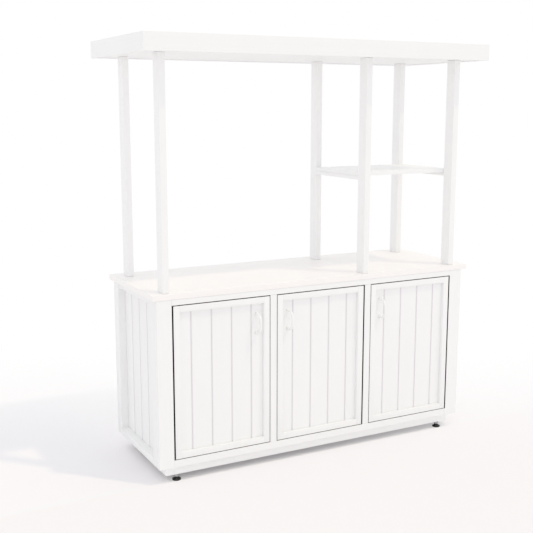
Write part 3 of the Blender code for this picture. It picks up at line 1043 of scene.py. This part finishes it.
@dataclass
class BowHandle:
    """A cast bow handle: it leaves the boards on swelled feet and runs in one flat arch."""

    node: str
    set_back: float
    half_width: float = 0.0066
    half_thick: float = 0.0056
    foot_swell: float = 1.3
    foot_run: float = 0.004
    foot_taper: float = 2.0
    end_fullness: float = 0.8
    crown_fullness: float = 0.75
    steps: int = 40
    sides: int = 24
    foot_arris: float = 0.0008

    def __post_init__(self) -> None:
        """Read from the solid where the handle meets the boards, its feet's distance and its reach."""
        low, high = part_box(self.node)
        self.centre = Vector(((low.x + high.x) / 2, high.y + self.set_back, (low.z + high.z) / 2))
        self.foot_thick = self.half_thick * self.foot_swell
        self.span = high.z - low.z - 2 * self.foot_thick
        self.stand_off = self.centre.y - low.y

    def path(self) -> list[tuple[Vector, float]]:
        """Work out the bar's line.

        Returns:
            A point and a swell for each step from the lower foot to the upper.
        """
        rise = self.stand_off - self.half_thick - self.foot_run
        line = [(-1.0, 0.0, self.foot_swell)]
        for step in range(self.steps + 1):
            angle = math.pi * step / self.steps
            along = -math.copysign(abs(math.cos(angle)) ** self.end_fullness, math.cos(angle))
            out = max(math.sin(angle), 0.0) ** self.crown_fullness
            swell = 1.0 + (self.foot_swell - 1.0) * (1.0 - out) ** self.foot_taper
            line.append((along, self.foot_run + rise * out, swell))
        line.append((1.0, 0.0, self.foot_swell))
        half = self.span / 2
        return [(self.centre + Vector((0.0, -out, half * along)), swell) for along, out, swell in line]

    def build(self, name: str) -> Piece:
        """Model the handle where its solid is.

        Args:
            name: the handle's name.

        Returns:
            The handle.
        """
        line = self.path()
        start = line[0][0]
        work = Workpiece.disc(name, start, Side.FRONT.outward, self.foot_thick, self.sides, POWDER_COAT)
        work.widen(self.half_width / self.half_thick, start)
        leant = 0.0
        for (before, swelled), (here, swell), (after, _) in zip(line, line[1:], line[2:] + line[-1:]):
            run = (after - here).normalized() + (here - before).normalized()
            lean = math.atan2(run.z, -run.y)
            work.extrude(here - before)
            work.turn(leant - lean, Axis.X, here)
            work.resize(swell / swelled, here)
            leant = lean
        work.pick(Pick.EDGE, lambda place, way: abs(place.y - self.centre.y) < TOUCH)
        work.ease(self.foot_arris)
        return work.finish()


@dataclass
class DoorPivot:
    """A plated pivot pin with a thrust collar, which fills the gap between the door and the rail."""

    node: str
    gap: Span
    sides: int = 32
    pin_radius: float = 0.0039
    chamfer: float = 0.0006

    def build(self, name: str) -> Piece:
        """Model the pin and its collar.

        Args:
            name: the pivot's name.

        Returns:
            The pivot.
        """
        low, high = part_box(self.node)
        radius = (high.x - low.x) / 2
        foot = Vector(((low.x + high.x) / 2, (low.y + high.y) / 2, 0.0))
        chamfer = self.chamfer
        collar_low, collar_high = self.gap
        profile = [
            (self.pin_radius - chamfer, low.z),
            (self.pin_radius, low.z + chamfer),
            (self.pin_radius, collar_low),
            (radius - chamfer, collar_low),
            (radius, collar_low + chamfer),
            (radius, collar_high - chamfer),
            (radius - chamfer, collar_high),
            (self.pin_radius, collar_high),
            (self.pin_radius, high.z - chamfer),
            (self.pin_radius - chamfer, high.z),
        ]
        return Workpiece.turned(name, foot, UP, profile, self.sides, ZINC_PLATE).finish()


@dataclass
class MagneticCatch:
    """A moulded catch with two steel pole plates towards the door."""

    node: str
    round_over: float = 0.0016
    round_steps: int = 3
    pole_height: float = 0.0030
    pole_space: float = 0.0120
    pole_margin: float = 0.0040
    pole_rim: float = 0.0003

    def build(self, name: str) -> Piece:
        """Model the catch where its solid is.

        Args:
            name: the catch's name.

        Returns:
            The catch.
        """
        low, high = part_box(self.node)
        middle = (low + high) / 2
        work = Workpiece.block(name, low, high, BLACK_NYLON, ZINC_PLATE)
        work.pick(Pick.EDGE, lambda place, way: place.y < high.y - TOUCH)
        work.ease(self.round_over, self.round_steps)
        half = self.pole_height / 2
        poles = [middle.z - self.pole_space / 2, middle.z + self.pole_space / 2]
        for pole in poles:
            for shift in (-half, half):
                work.split(UP * (pole + shift), UP)
        across = Side.FRONT.across
        for edge in (low.x + self.pole_margin, high.x - self.pole_margin):
            work.split(across * edge, across)
        work.pick(
            Pick.FACE,
            lambda place, way: way.y < -AGREES
            and min(abs(place.z - pole) for pole in poles) < half
            and abs(place.x - middle.x) < TOUCH,
        )
        work.inset(self.pole_rim)
        work.lay(ZINC_PLATE)
        return work.finish()


@dataclass
class StrikePlate:
    """A steel plate let into the back of a door, which the magnet holds."""

    middle: Vector
    width: float = 0.012
    height: float = 0.040
    thick: float = 0.0012
    proud: float = 0.0001
    corner: float = 0.0020
    corner_steps: int = 4

    def build(self, name: str) -> Piece:
        """Model the plate.

        Args:
            name: the plate's name.

        Returns:
            The plate.
        """
        half = Vector((self.width / 2, 0.0, self.height / 2))
        first = self.middle - half + Side.FRONT.outward * self.thick
        second = self.middle + half + Side.BACK.outward * self.proud
        work = Workpiece.block(name, first, second, ZINC_PLATE)
        work.pick(Pick.EDGE, lambda place, way: abs(way.y) > AGREES)
        work.ease(self.corner, self.corner_steps)
        return work.finish()


@dataclass
class Door:
    """One framed door with its boards, handle, screws, strike plate, pivots and catch."""

    name: str
    bench: Bench
    recess: float = 0.0165
    set_back: float = 0.0025
    lip: float = 0.0142
    pitch: float = 0.106
    joint_width: float = 0.0100
    joint_depth: float = 0.0022

    def copy(self, part: str, place: Vector, model: Model) -> Piece:
        """Copy one of the door's pieces from its pattern, set by a point."""
        return self.bench.copy(f"door_{part}", f"{self.name}_{part}", place, model)

    def build(self) -> None:
        """Make the door's pieces and fit them to their bodies."""
        name, side = self.name, Side.FRONT
        boards, leaf_frame, catch = f"{name}_boards", f"{name}_frame", f"{name}_catch"
        low, high = reach(boards, side.across)
        fields = [(low + self.lip, high - self.lip)]
        planking = Planking(
            boards, side, fields, self.pitch, self.joint_width, self.joint_depth, set_back=self.set_back
        )
        joinery = Joinery(leaf_frame, boards, side, fields, self.recess, self.lip, shaded_gap_edges=True)
        handle = BowHandle(f"{name}_handle", self.set_back)
        fit(self.copy("planking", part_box(boards)[0], planking.build), name, "painted_timber", boards)
        fit(self.copy("joinery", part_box(leaf_frame)[0], joinery.build), name, "painted_timber", leaf_frame)
        fit(self.copy("bow", handle.centre, handle.build), name, "coated_zinc", handle.node)
        self.build_screws(handle)
        self.build_strike_plate()
        self.build_pivots()
        magnet = self.copy("magnet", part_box(catch)[0], MagneticCatch(catch).build)
        fit(magnet, "cabinet", "black_plastic", catch)

    def build_screws(self, handle: BowHandle) -> None:
        """Set the handle's screws into the back of the boards.

        Args:
            handle: the door's handle.
        """
        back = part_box(f"{self.name}_boards")[1].y
        for place, way in (("lower", -1.0), ("upper", 1.0)):
            foot = Vector((handle.centre.x, back, handle.centre.z + way * handle.span / 2))
            screw = Screw(foot, Side.BACK.outward)
            head = self.bench.copy("handle_screw", f"{self.name}_{place}_handle_screw", foot, screw.build)
            fit(head, self.name, "plated_steel")

    def build_strike_plate(self) -> None:
        """Let the strike plate into the door's back, where the catch reaches behind it."""
        door_low, door_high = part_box(f"{self.name}_frame")
        catch_low, catch_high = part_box(f"{self.name}_catch")
        left, right = max(catch_low.x, door_low.x), min(catch_high.x, door_high.x)
        middle = Vector(((left + right) / 2, door_high.y, (catch_low.z + catch_high.z) / 2))
        plate = self.copy("strike_plate", middle, StrikePlate(middle).build)
        fit(plate, self.name, "plated_steel")

    def build_pivots(self) -> None:
        """Set the upper and the lower pivot, which stay in the cabinet's rails."""
        door_low, door_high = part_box(f"{self.name}_frame")
        gaps = {
            "upper": (door_high.z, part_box("face_top_rail")[0].z),
            "lower": (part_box("face_bottom_rail")[1].z, door_low.z),
        }
        for place, gap in gaps.items():
            node = f"{self.name}_{place}_pivot"
            pin = self.copy(f"{place}_pin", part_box(node)[0], DoorPivot(node, gap).build)
            fit(pin, "cabinet", "plated_steel", node)


@dataclass
class LevellingFoot:
    """A levelling foot: rubber sole, nylon pad, hexagon and steel stud."""

    name: str
    bench: Bench
    sole_height: float = 0.0020
    sole_radius: float = 0.0207
    pad_radius: float = 0.0215
    pad_height: float = 0.0072
    shoulder_height: float = 0.0120
    neck_radius: float = 0.0090
    neck_height: float = 0.0177
    hexagon_radius: float = 0.0115
    hexagon_top: float = 0.0309
    stud_radius: float = 0.0049
    round_over: float = 0.0010
    sides: int = 48
    hexagon_sides: int = 6

    def __post_init__(self) -> None:
        """Read the foot's place and height from its solid."""
        low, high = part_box(self.name)
        self.foot = Vector(((low.x + high.x) / 2, (low.y + high.y) / 2, low.z))
        self.height = high.z - low.z

    def turn(self, profile: Sequence[Span], sides: int, finish: Finish, name: str) -> Piece:
        """Turn one piece of the foot about its axis."""
        return Workpiece.turned(name, self.foot, UP, profile, sides, finish).finish()

    def build(self) -> None:
        """Make the foot's pieces and fit them to its body."""
        ease = self.round_over
        sole = [
            (self.sole_radius - ease, 0.0),
            (self.sole_radius, ease),
            (self.sole_radius, self.sole_height),
        ]
        pad = [
            (self.pad_radius - ease / 2, self.sole_height),
            (self.pad_radius, self.sole_height + ease / 2),
            (self.pad_radius, self.pad_height - 2 * ease),
            (self.pad_radius - ease / 2, self.pad_height - ease),
            (self.pad_radius - 2 * ease, self.pad_height),
            (self.neck_radius + 3 * ease, self.shoulder_height - ease),
            (self.neck_radius + ease, self.shoulder_height),
            (self.neck_radius, self.shoulder_height + ease),
            (self.neck_radius, self.neck_height),
        ]
        hexagon = [
            (self.hexagon_radius - ease, self.neck_height),
            (self.hexagon_radius, self.neck_height + ease),
            (self.hexagon_radius, self.hexagon_top - ease),
            (self.hexagon_radius - ease, self.hexagon_top),
        ]
        stud = [
            (self.stud_radius, self.hexagon_top),
            (self.stud_radius, self.height - ease),
            (self.stud_radius - ease, self.height),
        ]
        made = (
            ("pad", pad, self.sides, BLACK_NYLON, "black_plastic", (self.name,)),
            ("sole", sole, self.sides, BLACK_RUBBER, "black_plastic", ()),
            ("hexagon", hexagon, self.hexagon_sides, ZINC_PLATE, "plated_steel", ()),
            ("stud", stud, self.sides, ZINC_PLATE, "plated_steel", ()),
        )
        for part, profile, sides, finish, slot, nodes in made:
            model = partial(self.turn, profile, sides, finish)
            piece = self.bench.copy(f"foot_{part}", f"{self.name}_{part}", self.foot, model)
            fit(piece, self.name, slot, *nodes)


@dataclass
class Carcass:
    """The cabinet's sides, back, plinth, base, partitions and inner shelves."""

    side_recess: float = 0.037
    back_recess: float = 0.010
    lap: float = 0.0097
    side_pitch: float = 0.107
    back_pitch: float = 0.104
    back_fields: int = 3
    back_mullion: float = 0.044

    def build(self) -> None:
        """Model the framed sides and back, and finish the plain timbers."""
        framed = (
            ("left_side", Side.LEFT, 1, self.side_pitch, self.side_recess),
            ("right_side", Side.RIGHT, 1, self.side_pitch, self.side_recess),
            ("back", Side.BACK, self.back_fields, self.back_pitch, self.back_recess),
        )
        for name, side, count, pitch, recess in framed:
            low, high = reach(f"{name}_boards", side.across)
            fields = self.fields(low + self.lap, high - self.lap, count)
            planking = Planking(f"{name}_boards", side, fields, pitch, from_high=side is not Side.BACK)
            fit(planking.build(f"{name}_planking"), "cabinet", "painted_timber", f"{name}_boards")
            joinery = Joinery(f"{name}_frame", f"{name}_boards", side, fields, recess, self.lap)
            fit(joinery.build(f"{name}_joinery"), "cabinet", "painted_timber", f"{name}_frame")
        # The plinth's whiter paint is painted light, for the floor's bounce
        for place in ("front", "back", "left", "right"):
            dress(f"plinth_{place}", PLINTH_BOUNCE_PAINT[grain_of(f"plinth_{place}")])
        plain = ["base_panel", "left_partition", "right_partition"]
        plain += [f"{place}_bay_shelf" for place in ("left", "middle", "right")]
        for node in plain:
            dress(node, PAINT[grain_of(node)])

    def fields(self, left: float, right: float, count: int) -> list[Span]:
        """Share a width among equal fields with mullions between them.

        Args:
            left: the low end of the width.
            right: the high end.
            count: how many fields there are.

        Returns:
            The ends of each field.
        """
        width = (right - left - (count - 1) * self.back_mullion) / count
        starts = [left + number * (width + self.back_mullion) for number in range(count)]
        return [(start, start + width) for start in starts]


@dataclass
class FaceFrame:
    """The stiles, mullions and rails round the doors, with painted shade in the reveals."""

    painted_edge: float = 0.0016
    reveal_reach: float = 0.0025

    def build(self) -> None:
        """Finish the face frame's timbers."""
        left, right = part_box("face_left_stile"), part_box("face_right_stile")
        front, back = left[0].y + self.painted_edge, left[1].y - self.painted_edge
        low = (left[1].x - self.reveal_reach, front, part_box("face_bottom_rail")[1].z - self.reveal_reach)
        high = (right[0].x + self.reveal_reach, back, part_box("face_top_rail")[0].z + self.reveal_reach)
        uprights = ("face_left_stile", "face_left_mullion", "face_right_mullion", "face_right_stile")
        for axis, nodes in ((Axis.Z, uprights), (Axis.X, ("face_top_rail", "face_bottom_rail"))):
            finish = RevealShadePaint(f"reveal_paint_grain_{axis.name.lower()}", grain=axis, low=low, high=high)
            for node in nodes:
                dress(node, finish)


@dataclass
class Superstructure:
    """The worktop, the posts, the display shelf and the canopy above."""

    rows: Sequence[str] = ("front", "back")
    places: Sequence[str] = ("left", "middle", "right")
    fascias: Sequence[str] = ("front", "back", "left", "right")

    def build(self) -> None:
        """Finish the timbers above the cabinet."""
        dress("worktop", WARM_LIT_TOP_LACQUER)
        nodes = [f"{row}_{place}_post" for row in self.rows for place in self.places]
        nodes += ["display_shelf", "display_shelf_left_bearer", "display_shelf_right_bearer"]
        nodes += [f"canopy_{place}_fascia" for place in self.fascias]
        nodes += ["canopy_deck", "canopy_soffit"]
        for node in nodes:
            dress(node, PAINT[grain_of(node)])


@dataclass
class Studio:
    """A pale floor, an even white surround, one soft warm key and the picture's camera."""

    floor_reach: float = 60.0
    surround: str = "#FDFEFF"
    surround_strength: float = 0.937
    key_colour: str = "#FFEDC6"
    key_strength: float = 0.42
    key_spread: float = math.radians(2.6)
    key_height: float = math.radians(59.0)
    key_round: float = math.radians(44.4)
    camera_place: tuple[float, float, float] = (-2.3283, -4.09545, 1.7816)
    camera_yaw: float = 0.4863
    camera_pitch: float = -0.1763
    lens: float = 60.870
    sensor: float = 36.0

    def build(self) -> None:
        """Set up the studio."""
        self.build_floor()
        self.build_surround()
        self.build_key()
        self.build_camera()
        bpy.context.scene.view_settings.view_transform = "Standard"

    def build_floor(self) -> None:
        """Lay the floor."""
        bpy.ops.object.select_all(action="DESELECT")
        bpy.ops.mesh.primitive_plane_add(size=2 * self.floor_reach)
        floor = bpy.context.object
        floor.name = "studio_floor"
        floor.data.materials.append(StudioFloor("studio_floor_paint").material())
        log.info("%s is laid", floor.name)

    def build_surround(self) -> None:
        """Light the stand evenly from all round, and show plain white behind it."""
        world = bpy.data.worlds.new("studio_surround")
        world.use_nodes = True
        bpy.context.scene.world = world
        tree = world.node_tree
        lit = tree.nodes["Background"]
        feed(tree, lit, {"Color": linear(self.surround), "Strength": self.surround_strength})
        white = add_node(tree, "ShaderNodeBackground", {"Color": WHITE, "Strength": 1.0})
        feeds = {0: seen_rays(tree), 1: lit.outputs["Background"], 2: white.outputs["Background"]}
        mixed = add_node(tree, "ShaderNodeMixShader", feeds)
        feed(tree, tree.nodes["World Output"], {"Surface": mixed.outputs["Shader"]})
        log.info("%s is set", world.name)

    def build_key(self) -> None:
        """Hang one soft key at the front right."""
        bpy.ops.object.light_add(type="SUN")
        key = bpy.context.object
        key.name = "soft_key"
        key.data.energy = self.key_strength
        key.data.angle = self.key_spread
        key.data.color = linear(self.key_colour)[:3]
        level = math.cos(self.key_height)
        source = Vector(
            (math.sin(self.key_round) * level, -math.cos(self.key_round) * level, math.sin(self.key_height))
        )
        key.rotation_euler = source.to_track_quat("Z", "Y").to_euler()
        log.info("%s is set", key.name)

    def build_camera(self) -> None:
        """Stand the camera where the picture was taken from."""
        bpy.ops.object.camera_add(location=self.camera_place)
        camera = bpy.context.object
        camera.name = "picture_camera"
        camera.rotation_euler = (math.pi / 2 + self.camera_pitch, 0.0, -self.camera_yaw)
        camera.data.lens = self.lens
        camera.data.sensor_width = self.sensor
        bpy.context.scene.camera = camera
        log.info("%s is set", camera.name)


def main() -> None:
    """Build the stand's looks in order, then the studio."""
    logging.basicConfig(level=logging.INFO, format="%(name)s: %(message)s")
    bench = Bench()
    Carcass().build()
    FaceFrame().build()
    for name in ("left_door", "middle_door", "right_door"):
        Door(name, bench).build()
    Superstructure().build()
    for row in ("front", "back"):
        for place in ("left", "right"):
            LevellingFoot(f"{row}_{place}_foot", bench).build()
    bench.clear()
    Studio().build()


if __name__ == "__main__":
    main()
